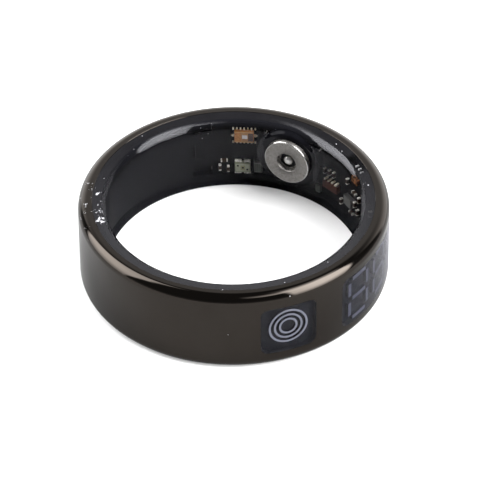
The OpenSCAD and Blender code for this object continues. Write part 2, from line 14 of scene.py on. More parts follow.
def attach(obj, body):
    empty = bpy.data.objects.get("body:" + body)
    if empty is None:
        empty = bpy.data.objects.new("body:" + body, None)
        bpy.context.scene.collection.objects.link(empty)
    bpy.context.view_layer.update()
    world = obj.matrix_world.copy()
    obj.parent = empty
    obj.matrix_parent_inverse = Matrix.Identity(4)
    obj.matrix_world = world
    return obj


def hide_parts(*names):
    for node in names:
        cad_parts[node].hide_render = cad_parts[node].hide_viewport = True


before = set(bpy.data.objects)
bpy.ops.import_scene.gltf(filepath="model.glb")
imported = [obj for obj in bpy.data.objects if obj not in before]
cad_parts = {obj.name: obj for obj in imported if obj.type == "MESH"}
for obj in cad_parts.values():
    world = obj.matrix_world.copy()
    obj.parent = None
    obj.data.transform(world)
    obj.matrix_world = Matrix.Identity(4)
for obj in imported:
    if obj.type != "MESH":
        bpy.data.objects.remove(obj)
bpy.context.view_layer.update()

MM = 0.001
MID = 3.65            # height of the band's middle
HALF = 3.65           # half the band's width
BORE = 10.3           # radius of the finger hole at mid width
OUTER = 12.7
WEB = 12.2            # inner radius of the shell in its groove
RIM = 11.54           # inner radius of the shell's rims
GROOVE = HALF - 0.75  # the rims are 0.75 thick
EDGE = 0.77           # radius of the shell's outer edges
BOARD = 11.36         # inner radius of the flexible board
BOARD_HALF = 2.7
SEAM = 0.012          # chamfer of the shell along the resin
HAIR = 0.006          # gap left between two pieces that meet
GLASS_IN = WEB + 0.03
RING_TOP = 12.40      # outer radius of the touch key's rings
BAR_TOP = 12.54       # outer radius of the display's bars
TOUCH_AZ, TOUCH_Z = -70.0, -0.05
DISPLAY_AZ, DISPLAY_Z = -9.6, -0.16


def cosd(a):
    return math.cos(math.radians(a))


def sind(a):
    return math.sin(math.radians(a))


def on_band(az, r, z):
    return r * cosd(az), r * sind(az), MID + z


def arc(cx, cy, r, a0, a1, steps):
    return [(cx + r * cosd(a0 + (a1 - a0) * i / steps), cy + r * sind(a0 + (a1 - a0) * i / steps))
            for i in range(steps + 1)]


# ---------------------------------------------------------------- finishes

class Value:
    """A number in a finish's node tree, with the usual operators."""

    def __init__(self, finish, socket):
        self.finish = finish
        self.socket = socket

    def _maths(self, operation, *others):
        return self.finish.add("ShaderNodeMath", {"operation": operation}, *others)

    def __add__(self, other):
        return self._maths("ADD", self, other)

    def __sub__(self, other):
        return self._maths("SUBTRACT", self, other)

    def __rsub__(self, other):
        return self._maths("SUBTRACT", other, self)

    def __mul__(self, other):
        return self._maths("MULTIPLY", self, other)

    def __truediv__(self, other):
        return self._maths("DIVIDE", self, other)

    def __pow__(self, other):
        return self._maths("POWER", self, other)

    def __lt__(self, other):
        return self._maths("LESS_THAN", self, other)

    def __gt__(self, other):
        return self._maths("GREATER_THAN", self, other)

    def __abs__(self):
        return self._maths("ABSOLUTE", self)

    def clip(self):
        return self.finish.add("ShaderNodeClamp", {}, self)

    __radd__ = __add__
    __rmul__ = __mul__


class Graph:
    """A node tree; add() puts in one node and returns one of its outputs. None leaves a socket as it is."""

    def __init__(self, owner, end):
        owner.use_nodes = True
        self.tree = owner.node_tree
        self.tree.nodes.clear()
        self.end = self.tree.nodes.new(end)

    def add(self, kind, settings, *inputs, out=0, **named):
        node = self.tree.nodes.new(kind)
        for key, value in settings.items():
            setattr(node, key, value)
        given = list(enumerate(inputs)) + [(key.replace("_", " "), value) for key, value in named.items()]
        for key, value in given:
            if value is None:
                continue
            if isinstance(value, Value):
                self.tree.links.new(value.socket, node.inputs[key])
            else:
                node.inputs[key].default_value = value
        return Value(self, node.outputs[out])

    def output(self, value, name):
        return Value(self, value.socket.node.outputs[name])

    def dot(self, vector, x, y, z):
        product = self.add("ShaderNodeVectorMath", {"operation": "DOT_PRODUCT"}, vector, (x, y, z))
        return self.output(product, "Value")

    def height(self, vector):
        """The vector's z, so for a place its height above the base."""
        return self.dot(vector, 0, 0, 1)

    def flat_length(self, vector):
        flat = self.add("ShaderNodeVectorMath", {"operation": "MULTIPLY"}, vector, (1, 1, 0))
        return self.output(self.add("ShaderNodeVectorMath", {"operation": "LENGTH"}, flat), "Value")

    def toward(self, vector, az):
        """Cosine of the azimuth between a vector and az."""
        return self.dot(vector, cosd(az), sind(az), 0) / self.flat_length(vector)

    def near(self, vector, az, half):
        """1 about an azimuth, running out to 0 at half degrees from it."""
        return self.fit_range(self.toward(vector, az), cosd(half), cosd(half * 0.5))

    def split(self, vector):
        parts = self.add("ShaderNodeSeparateXYZ", {}, vector)
        return [self.output(parts, axis) for axis in "XYZ"]

    def sine(self, value):
        return self.add("ShaderNodeMath", {"operation": "SINE"}, value)

    def noise(self, where, scale, detail=3.0, roughness=0.55, stretch=None):
        if stretch:
            where = self.add("ShaderNodeMapping", {}, where, Scale=stretch)
        return self.add("ShaderNodeTexNoise", {}, where, Scale=scale, Detail=detail, Roughness=roughness)

    def cells(self, where, scale):
        return self.add("ShaderNodeTexVoronoi", {}, where, Scale=scale)

    def mix(self, factor, a, b):
        """Mixes two colours, which are the node's sockets 6 and 7."""
        a, b = (colour if isinstance(colour, Value) else (*colour, 1) for colour in (a, b))
        return self.add("ShaderNodeMix", {"data_type": "RGBA"}, factor, *[None] * 5, a, b, out=2)

    def bump(self, height, distance, strength=1.0):
        return self.add("ShaderNodeBump", {}, Strength=strength, Distance=distance * MM, Height=height)

    def fit_range(self, value, a, b, c=0.0, d=1.0):
        return self.add("ShaderNodeMapRange", {}, value, a, b, c, d)

    def principled(self, **named):
        if not isinstance(named["Base_Color"], Value):
            named["Base_Color"] = (*named["Base_Color"], 1)
        return self.add("ShaderNodeBsdfPrincipled", {}, **named)

    def surface(self, **named):
        return self.close(self.principled(**named))

    def join(self, share, a, b):
        return self.add("ShaderNodeMixShader", {}, share, a, b)

    def close(self, shader):
        self.tree.links.new(shader.socket, self.end.inputs[0])


class Finish(Graph):
    """One material of the ring."""

    def __init__(self, name):
        self.material = bpy.data.materials.new(name)
        super().__init__(self.material, "ShaderNodeOutputMaterial")

    def place(self):
        """Position in the object's own frame, in millimetres."""
        here = self.add("ShaderNodeTexCoord", {}, out=3)
        return self.add("ShaderNodeVectorMath", {"operation": "SCALE"}, here, Scale=1000.0)

    def patch(self):
        """The piece's own flat coordinates, in millimetres."""
        return self.add("ShaderNodeUVMap", {"uv_map": "Patch"})

    def close(self, shader):
        super().close(shader)
        return self.material

    def edge_on(self, normal=None):
        """0 where the surface is seen squarely, 1 where it is seen edge-on."""
        return self.output(self.add("ShaderNodeLayerWeight", {}, 0.5, normal), "Facing")

    def coat(self, under, base, rise, rough, normal=None):
        """A clear gloss over another look: its share grows from base where it is seen edge-on."""
        gloss_tint = (0.95, 0.95, 1, 1)
        share = self.edge_on(normal) ** 5.0 * rise + base
        gloss = self.add("ShaderNodeBsdfGlossy", {}, Color=gloss_tint, Roughness=rough, Normal=normal)
        return self.close(self.join(share, under, gloss))

    def clear(self, *tint):
        return self.add("ShaderNodeBsdfTransparent", {}, Color=(*tint, 1))

    def seen_from_inside(self, under):
        """The eye sees no way out of the resin: its far surface is black from within."""
        inside = self.output(self.add("ShaderNodeNewGeometry", {}), "Backfacing")
        eye = self.output(self.add("ShaderNodeLightPath", {}), "Is Camera Ray")
        return self.join(inside * eye, under, self.matt((0.004, 0.004, 0.006)))

    def matt(self, colour):
        return self.principled(Base_Color=colour, Roughness=0.7, Specular_IOR_Level=0.0)


def debris(f, where, az, half, scale, size):
    """White specks scattered about one azimuth, in clusters."""
    cell = f.cells(where, scale)
    cluster = f.noise(where, 1.3, 2.0)
    return cell < f.near(where, az, half) * f.fit_range(cluster, 0.45, 0.75, 0.0, size)


def black_shell():
    """Black coated metal with faint smears, dust, and white specks on the upper rim at the left."""
    f = Finish("black_shell")
    where = f.place()
    smear = f.noise(where, 0.35, 4.0, 0.6)
    fine = f.noise(where, 26.0, 2.0, 0.6, stretch=(1, 1, 3))
    dust = f.noise(where, 4.3, 3.0, 0.7)
    colour = f.mix(smear, (0.034, 0.029, 0.0250), (0.041, 0.036, 0.032))
    upper_rim = (f.height(where) > 6.95) * (f.flat_length(where) > RIM + 0.06)
    specks = (debris(f, where, 182, 15, 6.5, 0.85) * upper_rim + (f.cells(where, 0.55) < 0.035)).clip()
    colour = f.mix(specks, colour, (0.42, 0.42, 0.44))
    smeared = f.fit_range(smear, 0.35, 0.75, 0.035, 0.075)
    rough = smeared + f.fit_range(dust, 0.62, 0.8, 0.0, 0.08) + specks * 0.4
    return f.surface(Base_Color=colour, Metallic=1.0, Roughness=rough, Normal=f.bump(fine, 0.0012, 0.3))


def clear_resin():
    """Clear over the electronics, with painted shade at the far upper lip, where it turns dark and matt; the
    gloss is dimmer low on the wall.
    """
    f = Finish("clear_resin")
    where = f.place()
    up = f.height(where)
    streaks = f.fit_range(f.noise(where, 2.2, 4.0, 0.6, stretch=(0.5, 0.5, 5)), 0.3, 0.7, -0.2, 0.2)
    wall = f.fit_range(up, 6.7, 5.9, 0.0165, 0.020) * f.fit_range(up, 0.5, 1.3, 0.6, 1.0)
    specks = (debris(f, where, 103, 5, 4.5, 0.35) * (up > 5.6) + (f.cells(where, 1.3) < 0.035)).clip()
    clear = f.clear(0.85, 0.85, 0.86)
    # painted shade: at the top of the far wall the resin is mixed into a matt near-black, standing in for
    # the shade that falls there
    dark = f.near(where, 90, 80) * f.fit_range(up, 6.45, 7.1)
    body = f.join(dark, clear, f.matt((0.006, 0.006, 0.0076)))
    through = f.join(specks * 0.8, body, f.matt((0.30, 0.30, 0.32)))
    base = wall * (streaks * f.fit_range(up, 6.3, 5.8) + 1.0) * (f.near(where, 30, 50) * 0.7 + 1.0)
    return f.coat(f.seen_from_inside(through), base, 0.03, 0.05)


def under_resin():
    f = Finish("under_resin")
    tone = f.noise(f.place(), 1.2, 3.0)
    return f.close(f.matt(f.mix(tone, (0.004, 0.004, 0.005), (0.008, 0.008, 0.010))))


def land_resin():
    """The resin's land: dark and dull, clear only over the grounding clips."""
    f = Finish("land_resin")
    where = f.place()
    tone = f.noise(where, 0.8, 3.0)
    specks = (debris(f, where, 186, 15, 5.6, 0.85) + debris(f, where, 18, 40, 3.0, 0.2)
              + (f.cells(where, 1.1) < 0.045)).clip()
    resin = f.mix(tone, (0.0063, 0.0062, 0.0072), (0.0115, 0.0113, 0.0128))
    body = f.matt(f.mix(specks, resin, (0.50, 0.50, 0.53)))
    over_clips = (f.near(where, 24, 7) - specks).clip()
    through = f.join((over_clips + 0.12).clip(), body, f.clear(0.80, 0.80, 0.82))
    return f.coat(f.seen_from_inside(through), 0.015, 0.03, 0.07)


def smoked(name, tint):
    """Window glass: it closes up where it is seen edge-on."""
    f = Finish(name)
    normal = f.bump(f.noise(f.place(), 0.6, 2.0), 0.01, 0.2)
    through = f.join(f.edge_on() ** 3.0 * 0.8, f.clear(*tint), f.matt((0.012, 0.012, 0.015)))
    return f.coat(through, 0.018, 0.75, 0.07, normal)


def lit_face(name, a, b, limit, az=None):
    """Pale beyond a distance from the ring axis, where the piece faces out of its window, else black.

    With an azimuth, the distance is taken along it, as for a flat face.
    """
    f = Finish(name)
    where = f.place()
    distance = f.flat_length(where) if az is None else f.dot(where, cosd(az), sind(az), 0)
    pale = f.mix(f.noise(where, 7.0, 3.0, 0.6), a, b)
    return f.close(f.matt(f.mix(distance > limit, (0.006, 0.006, 0.009), pale)))


def mottled(name, a, b, rough, scale, metallic=0.0, bump=0.0, sharp=0.5):
    """A two-tone finish with a fine grain: boards, films, ceramics and moulded parts; on gold and tin the
    bright tone, in sharp patches, is painted glint.
    """
    f = Finish(name)
    where = f.place()
    tone = f.fit_range(f.noise(where, scale, 4.0, 0.6), 0.5 - sharp, 0.5 + sharp)
    grain = f.noise(where, 18.0, 2.0, 0.6)
    rough_link = f.fit_range(grain, 0.3, 0.7, rough * 0.85, min(1.0, rough * 1.15))
    normal = f.bump(grain, bump) if bump else None
    return f.surface(Base_Color=f.mix(tone, a, b), Roughness=rough_link, Metallic=metallic, Normal=normal,
                     Specular_IOR_Level=0.5 if metallic else 0.08)


def satin_steel():
    f = Finish("satin_steel")
    where = f.place()
    grain = f.noise(where, 7.0, 5.0, 0.8)
    pits = f.cells(where, 5.5)
    tone = f.mix(f.fit_range(grain, 0.35, 0.65), (0.20, 0.19, 0.18), (0.36, 0.345, 0.33))
    tone = f.mix(pits < 0.16, tone, (0.10, 0.095, 0.09))
    return f.surface(Base_Color=tone, Metallic=1.0, Roughness=f.fit_range(grain, 0.3, 0.7, 0.36, 0.52),
                     Normal=f.bump(grain, 0.006, 0.5))


finishes = {
    "black_shell": black_shell(),
    "clear_resin": clear_resin(),
    "under_resin": under_resin(),
    "land_resin": land_resin(),
    "touch_smoke": smoked("touch_smoke", (0.88, 0.88, 0.92)),
    "display_smoke": smoked("display_smoke", (0.80, 0.80, 0.86)),
    "satin_steel": satin_steel(),
    "ring_light": lit_face("ring_light", (0.142, 0.15, 0.172), (0.208, 0.22, 0.25), RING_TOP - 0.015,
                           TOUCH_AZ),
    "bar_light": lit_face("bar_light", (0.048, 0.050, 0.064), (0.082, 0.086, 0.107), BAR_TOP - 0.02),
}
for name, a, b, rough, scale, more in (
        ("window_back", (0.003, 0.0034, 0.005), (0.006, 0.0067, 0.009), 0.7, 1.2, {}),
        ("bright_tin", (0.80, 0.80, 0.78), (0.97, 0.97, 0.95), 0.3, 6.0, {}),
        ("polished_steel", (0.70, 0.69, 0.67), (0.82, 0.81, 0.79), 0.16, 5.0, {"metallic": 1.0}),
        ("pin_steel", (0.62, 0.61, 0.59), (0.80, 0.79, 0.77), 0.42, 7.0, {"metallic": 1.0}),
        ("foam", (0.02, 0.02, 0.02), (0.035, 0.035, 0.035), 0.9, 6.0, {"bump": 0.02}),
        ("mask", (0.0070, 0.0076, 0.0096), (0.0110, 0.0118, 0.0150), 0.5, 3.0, {}),
        ("light_guide", (0.7, 0.7, 0.75), (0.8, 0.8, 0.85), 0.3, 2.0, {}),
        ("pale_ceramic", (0.50, 0.52, 0.38), (0.62, 0.64, 0.50), 0.45, 3.0, {}),
        ("copper", (0.60, 0.28, 0.15), (0.68, 0.34, 0.20), 0.35, 4.0, {"metallic": 1.0}),
        ("black_board", (0.0010, 0.0010, 0.0016), (0.0028, 0.0026, 0.0036), 0.6, 1.5, {}),
        ("black_film", (0.0012, 0.0012, 0.002), (0.0030, 0.0029, 0.0042), 0.6, 0.8, {}),
        ("sheet_steel", (0.22, 0.22, 0.205), (0.31, 0.31, 0.29), 0.35, 3.0, {"metallic": 1.0}),
        ("green_board", (0.012, 0.05, 0.022), (0.02, 0.08, 0.035), 0.4, 3.0, {}),
        ("amber", (0.01, 0.006, 0.004), (0.28, 0.115, 0.045), 0.45, 4.0, {"sharp": 0.12}),
        # gold and tin: the sharp near-white patches on the metal's own colour are painted glints
        ("gold", (0.50, 0.40, 0.24), (1.0, 0.95, 0.82), 0.3, 6.0, {"sharp": 0.09}),
        ("tin", (0.34, 0.33, 0.28), (1.0, 0.98, 0.92), 0.3, 6.0, {"sharp": 0.09}),
        ("black_plastic", (0.010, 0.010, 0.011), (0.018, 0.018, 0.019), 0.35, 4.0, {"bump": 0.004}),
        ("epoxy", (0.014, 0.014, 0.016), (0.022, 0.022, 0.024), 0.55, 5.0, {"bump": 0.006}),
        ("brown_laminate", (0.025, 0.009, 0.006), (0.10, 0.028, 0.014), 0.5, 4.0, {}),
        ("brown_ceramic", (0.018, 0.012, 0.008), (0.045, 0.030, 0.02), 0.5, 6.0, {}),
        ("ferrite", (0.06, 0.06, 0.065), (0.09, 0.09, 0.095), 0.6, 5.0, {"bump": 0.01}),
        ("cream_ceramic", (0.66, 0.64, 0.56), (0.74, 0.72, 0.65), 0.5, 4.0, {})):
    finishes[name] = mottled(name, a, b, rough, scale, **more)


# ---------------------------------------------------------------- mesh makers

def add_piece(name, mesh, stands_for):
    piece = bpy.data.objects.new(name, mesh)
    bpy.context.scene.collection.objects.link(piece)
    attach(piece, "root")
    if stands_for:
        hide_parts(*stands_for)
    return piece


def make_piece(name, points, faces, finish, stands_for, seams=35.0, pick=None):
    """Points are in millimetres in the ring's frame. finish is one name or several, picked per face."""
    mesh = bpy.data.meshes.new(name)
    mesh.from_pydata([Vector(p) * MM for p in points], [], faces)
    names = [finish] if isinstance(finish, str) else finish
    for n in names:
        mesh.materials.append(finishes[n])
    if pick:
        mesh.polygons.foreach_set("material_index", pick)
    tidy = bmesh.new()
    tidy.from_mesh(mesh)
    bmesh.ops.remove_doubles(tidy, verts=tidy.verts, dist=1e-7)
    bmesh.ops.recalc_face_normals(tidy, faces=tidy.faces)
    tidy.to_mesh(mesh)
    tidy.free()
    mesh.shade_smooth()
    mesh.set_sharp_from_angle(angle=math.radians(seams))
    return add_piece(name, mesh, stands_for)


def turned_faces(n, steps):
    """Faces of a closed section of n points that is turned full circle in so many steps."""
    faces = []
    for i in range(steps):
        a, b = i * n, (i + 1) % steps * n
        faces += [(a + k, b + k, b + (k + 1) % n, a + (k + 1) % n) for k in range(n)]
    return faces


def lathe(rows, steps=480):
    """A closed section (r, z) turned about the ring axis."""
    points = [on_band(360 * i / steps, r, z) for i in range(steps) for r, z in rows]
    return points, turned_faces(len(rows), steps)


def spin_about(az, z, rows, steps=96):
    """A closed section turned about a radius of the band: (radius from it, distance from the ring axis)."""
    out = Vector((cosd(az), sind(az), 0))
    across = Vector((-sind(az), cosd(az), 0))
    up = Vector((0, 0, 1))
    points = []
    for i in range(steps):
        a = 360 * i / steps
        points += [out * d + across * (r * cosd(a)) + up * (r * sind(a) + MID + z) for r, d in rows]
    return points, turned_faces(len(rows), steps)


def curved_block(az0, az1, z0, z1, r0, r1, first):
    """A stretch of band between two azimuths, in columns of a degree or less."""
    count = max(1, math.ceil(az1 - az0))
    points = []
    for i in range(count + 1):
        az = az0 + (az1 - az0) * i / count
        points += [on_band(az, r, z) for r, z in ((r0, z0), (r1, z0), (r1, z1), (r0, z1))]
    faces = [(first, first + 1, first + 2, first + 3)]
    for i in range(count):
        a = first + 4 * i
        faces += [(a + k, a + 4 + k, a + 4 + (k + 1) % 4, a + (k + 1) % 4) for k in range(4)]
    end = first + 4 * count
    faces.append((end + 3, end + 2, end + 1, end))
    return points, faces


def curved_piece(node, stretches, finish):
    points = []
    faces = []
    for stretch in stretches:
        more, their = curved_block(*stretch, first=len(points))
        points += more
        faces += their
    return make_piece(node + "_fine", points, faces, finish, [node])


# ---------------------------------------------------------------- shell and windows

def mm_deg(length):
    return math.degrees(length / OUTER)


DIGIT_H, DIGIT_W, STROKE, BAR_GAP = 4.4, 2.78, 0.35, 0.17
half_pair = mm_deg((DIGIT_W + 2.0) / 2)
pitch = mm_deg(DIGIT_W + 0.9)
DIGIT_AZ = [DISPLAY_AZ + s * half_pair + k * pitch for s, k in ((-1, -1), (-1, 0), (1, 0), (1, 1))]
TOUCH = dict(az=TOUCH_AZ, half=math.degrees(math.asin(4.75 / 2 / OUTER)), z=TOUCH_Z, h=4.55, corner=0.7)
DISPLAY = dict(az=DISPLAY_AZ, half=half_pair + pitch + mm_deg(DIGIT_W / 2 + 0.9), z=0.0, h=4.9, corner=0.7)
COLUMN = 0.75  # widest column of the shell and the windows, in degrees
CORNER_STEPS = 10


def window_columns(w, shrink=0.0):
    """Columns (azimuth, low z, high z) of a window with rounded corners."""
    corner = w["corner"] - shrink
    half_deg = w["half"] - mm_deg(shrink)
    top = w["h"] / 2 - shrink
    columns = []
    for i in range(CORNER_STEPS + 1):
        t = 90 * i / CORNER_STEPS
        inset = corner * (1 - sind(90 - t))
        rise = top - corner + corner * sind(t)
        columns.append((w["az"] - half_deg + mm_deg(inset), rise))
    inner = columns[-1][0]
    other = 2 * w["az"] - inner
    middle = max(1, math.ceil((other - inner) / COLUMN))
    columns += [(inner + (other - inner) * i / middle, top) for i in range(1, middle)]
    columns += [(2 * w["az"] - az, rise) for az, rise in reversed(columns[:CORNER_STEPS + 1])]
    return [(az, w["z"] - rise, w["z"] + rise) for az, rise in columns]


def shell_columns():
    """Columns all round the band: inside a window they carry its edge."""
    columns = []
    windows = [window_columns(TOUCH), window_columns(DISPLAY)]
    low = 1.6  # a window's edge rows run on round the band at this height
    for w in windows:
        columns += [(az, a, b, True) for az, a, b in w]
    spans = [(windows[0][-1][0], windows[1][0][0]), (windows[1][-1][0], windows[0][0][0] + 360)]
    for a, b in spans:
        count = math.ceil((b - a) / COLUMN)
        columns += [(a + (b - a) * i / count, -low, low, False) for i in range(1, count)]
    return sorted(columns, key=lambda c: c[0])


def build_shell():
    """The band, its rims and rounded edges, with an opening through its web for each window."""
    columns = shell_columns()
    fillet = arc(OUTER - EDGE, HALF - EDGE, EDGE, 0, 90, 18)
    upper = [(OUTER, HALF - EDGE - 0.03)] + fillet + [
        (OUTER - EDGE - 0.03, HALF), (RIM + SEAM + 0.02, HALF), (RIM + SEAM, HALF), (RIM, HALF - SEAM),
        (RIM, GROOVE), (WEB, GROOVE)]
    points = []
    rings = []
    for az, low, high, _ in columns:
        rows = [(OUTER, high)] + upper + [(WEB, high), (WEB, low)]
        rows += [(r, -z) for r, z in reversed(upper)] + [(OUTER, low)]
        rings.append(len(points))
        points += [on_band(az, r, z) for r, z in rows]
    n = len(upper)
    last = 2 * n + 3
    faces = []
    for i, (az, low, high, framed) in enumerate(columns):
        j = (i + 1) % len(columns)
        a, b = rings[i], rings[j]
        faces += [(a + k, b + k, b + k + 1, a + k + 1) for k in range(n + 1)]
        faces += [(a + k, b + k, b + k + 1, a + k + 1) for k in range(n + 2, last)]
        gap = columns[j][0] - az
        opening = framed and columns[j][3] and 0 < gap < 3
        if opening:
            faces.append((a, a + n + 1, b + n + 1, b))
            faces.append((a + n + 2, a + last, b + last, b + n + 2))
        else:
            faces.append((a + last, b + last, b, a))
            faces.append((a + n + 1, b + n + 1, b + n + 2, a + n + 2))
        if framed and (not columns[i - 1][3] or not columns[j][3]):
            faces.append((a, a + last, a + n + 2, a + n + 1))
    return make_piece("shell", points, faces, "black_shell", ["outer_shell"], seams=30)


def window_piece(name, w, finish, stands_for):
    """Only the outer face is smoked glass; its back and its edge are black."""
    columns = window_columns(w, HAIR)
    points = []
    for az, low, high in columns:
        rows = ((GLASS_IN, low), (OUTER, low), (OUTER, high), (GLASS_IN, high))
        points += [on_band(az, r, z) for r, z in rows]
    faces = [(0, 3, 2, 1)]
    for i in range(len(columns) - 1):
        a = 4 * i
        faces += [(a + k, a + (k + 1) % 4, a + 4 + (k + 1) % 4, a + 4 + k) for k in range(4)]
    end = 4 * (len(columns) - 1)
    faces.append((end, end + 1, end + 2, end + 3))
    pick = [0 if len(faces) - 1 > k > 0 and (k - 1) % 4 == 1 else 1 for k in range(len(faces))]
    return make_piece(name, points, faces, [finish, "window_back"], stands_for, seams=30, pick=pick)


build_shell()
window_piece("touch_glass", TOUCH, "touch_smoke", ["touch_window"])
window_piece("display_glass", DISPLAY, "display_smoke", ["display_window"])


# ---------------------------------------------------------------- resin liner

def liner_section():
    """Section of the resin: groove, rim, sloping land, lip, swollen inner wall, and the same below.

    The wall is an arc that swells towards the finger; the lip is a circle that touches it and the land.
    """
    swell, lip_r, slope = 0.15, 0.36, 9.0
    half = HALF - lip_r
    swell_r = (half ** 2 + swell ** 2) / (2 * swell)
    centre = BORE + swell_r
    rise = math.tan(math.radians(slope))
    base = HALF - 0.03 - RIM * rise - lip_r / cosd(slope)
    a, b, c = 1 + rise ** 2, base * rise - centre, centre ** 2 + base ** 2 - (swell_r - lip_r) ** 2
    lip_x = (-b - math.sqrt(b * b - a * c)) / a
    lip_z = base + rise * lip_x
    wall = math.degrees(math.asin(lip_z / (swell_r - lip_r)))
    lip = arc(lip_x, lip_z, lip_r, 90 + slope, 180 - wall, 16)
    inner = arc(centre, 0, swell_r, 180 - wall, 180, 20)
    start = (RIM - HAIR, HALF - 0.03)
    guard = (lip[0][0] + 0.04 * (start[0] - lip[0][0]), lip[0][1] + 0.04 * (start[1] - lip[0][1]))
    half_rows = [(WEB - HAIR, GROOVE - HAIR), (RIM - HAIR, GROOVE - HAIR), start, guard] + lip + inner[1:]
    return half_rows, half_rows + [(r, -z) for r, z in reversed(half_rows[:-1])], swell_r, centre


def soften_lip(piece):
    """Lets the shading of the lip run out gently into the wall; (0, 0, 0) keeps a normal as it is."""
    path = half_rows[2:]
    lip_end = 18
    steps = [0.0]
    for (r0, z0), (r1, z1) in zip(path, path[1:]):
        steps.append(steps[-1] + math.hypot(r1 - r0, z1 - z0))
    begin, finish = steps[1] - 0.05, steps[lip_end] + 0.6
    first, last = 81.0, math.degrees(math.asin(path[lip_end][1] / swell_r)) * 0.5
    mesh = piece.data
    normals = []
    for vertex in mesh.vertices:
        x, y, z = vertex.co / MM
        r, up = math.hypot(x, y), z - MID
        nearest = min(range(len(path)), key=lambda k: (path[k][0] - r) ** 2 + (path[k][1] - abs(up)) ** 2)
        share = (steps[nearest] - begin) / (finish - begin)
        if r > RIM - 0.02 or not 0 < share < 1:
            normals.append((0, 0, 0))
            continue
        tilt = first + (last - first) * (0.7 * share + 0.3 * (0.5 + 4 * (share - 0.5) ** 3))
        normals.append(Vector((-x / r * cosd(tilt), -y / r * cosd(tilt), math.copysign(sind(tilt), up))))
    mesh.normals_split_custom_set([normals[loop.vertex_index] for loop in mesh.loops])


half_rows, section, swell_r, swell_centre = liner_section()
points, faces = lathe(section)
n = len(section)
hidden = {0, 1, n - 3, n - 2, n - 1}
land = {2, 3, n - 5, n - 4}
pick = [1 if k % n in hidden else 2 if k % n in land else 0 for k in range(len(faces))]
resin = make_piece("resin", points, faces, ["clear_resin", "under_resin", "land_resin"], ["resin_liner"],
                   seams=50, pick=pick)
soften_lip(resin)


# ---------------------------------------------------------------- charging contact

CONTACT_AZ, CONTACT_Z = 62.6, 0.5
FACE = 9.6     # distance of the disc's face from the ring axis
AXIS = 0.0005  # a turned part closes this near its own axis


def contact_piece(name, rows, finish, stands_for, seams=40.0, bevel=()):
    """A turned part; its bevel faces take the second of two finishes."""
    points, faces = spin_about(CONTACT_AZ, CONTACT_Z, rows)
    pick = [1 if k % len(rows) in bevel else 0 for k in range(len(faces))]
    return make_piece(name, points, faces, finish, stands_for, seams=seams, pick=pick)


def wall_distance(across, z):
    """Distance from the ring axis, along the contact's axis, of the inner wall."""
    r = swell_centre - math.sqrt(swell_r ** 2 - z ** 2)
    return math.sqrt(r * r - across * across)


def build_mound():
    """The resin raised round the carrier, blended into the wall."""
    out = Vector((cosd(CONTACT_AZ), sind(CONTACT_AZ), 0))
    side = Vector((-sind(CONTACT_AZ), cosd(CONTACT_AZ), 0))
    steps, rows = 96, 16
    points = []
    inner, top, foot = 1.97, 2.44, 2.86
    crest, root = 10.05, 11.0
    for i in range(steps):
        a = 360 * i / steps
        for k in range(rows + 1):
            share = k / rows
            r = inner + (foot - inner) * share
            t = min(1.0, max(0.0, (r - top) / (foot - top)))
            t = t * t * (3 - 2 * t)
            across, up = r * cosd(a), r * sind(a)
            wall = wall_distance(across, max(-2.9, min(2.9, up + CONTACT_Z)))
            d = crest + (wall + 0.02 - crest) * t
            points.append(out * d + side * across + Vector((0, 0, up + MID + CONTACT_Z)))
        for r in (foot * 0.98, inner):
            points.append(out * root + side * (r * cosd(a)) + Vector((0, 0, r * sind(a) + MID + CONTACT_Z)))
    faces = turned_faces(rows + 3, steps)
    return make_piece("resin_mound", points, faces, "mound", [], seams=60)


def mound_finish():
    f = Finish("mound")
    where = f.place()
    body = f.matt(f.mix(f.noise(where, 2.0), (0.003, 0.003, 0.004), (0.007, 0.007, 0.009)))
    base = f.fit_range(f.height(where), 6.35, 5.9, 0.004, 0.026)
    return f.coat(body, base, 0.06, 0.05, f.bump(f.noise(where, 1.3, 2.0), 0.05, 0.1))


finishes["mound"] = mound_finish()
build_mound()

DISC_R, HOLE_R, NECK_R, BORE_R = 2.05, 0.875, 1.65, 0.725
STEP, TAIL = FACE + 0.42, FACE + 1.3
SLEEVE_IN, PIN_R, PIN_END = 0.455, 0.425, 11.3
rows = [(HOLE_R + 0.03, FACE)] + arc(DISC_R - 0.09, FACE + 0.09, 0.09, -90, 0, 8)
rows += [(DISC_R, STEP), (NECK_R, STEP), (NECK_R, TAIL), (BORE_R, TAIL), (BORE_R, STEP), (HOLE_R, STEP),
         (HOLE_R, FACE + 0.03)]
contact_piece("contact_disc", rows, ["satin_steel", "polished_steel"], ["contact_ring"],
              seams=60, bevel=range(1, 9))
rows = [(SLEEVE_IN, FACE + 0.5), (0.66, FACE + 0.5), (0.695, FACE + 0.535), (0.695, TAIL), (SLEEVE_IN, TAIL)]
contact_piece("contact_sleeve", rows, "black_plastic", ["contact_insulator"])
rows = [(AXIS, FACE + 0.18)] + arc(PIN_R - 0.3, FACE + 0.48, 0.3, -90, 0, 10)
rows += [(PIN_R, PIN_END), (AXIS, PIN_END)]
contact_piece("contact_centre", rows, "pin_steel", ["contact_pin"], seams=60)
rows = [(1.68, 10.04), (1.95, 10.04), (1.95, 11.15), (SLEEVE_IN, 11.15), (SLEEVE_IN, 10.9), (1.68, 10.9)]
contact_piece("contact_seat", rows, "black_plastic", ["contact_carrier"])


# ---------------------------------------------------------------- boards, films and battery

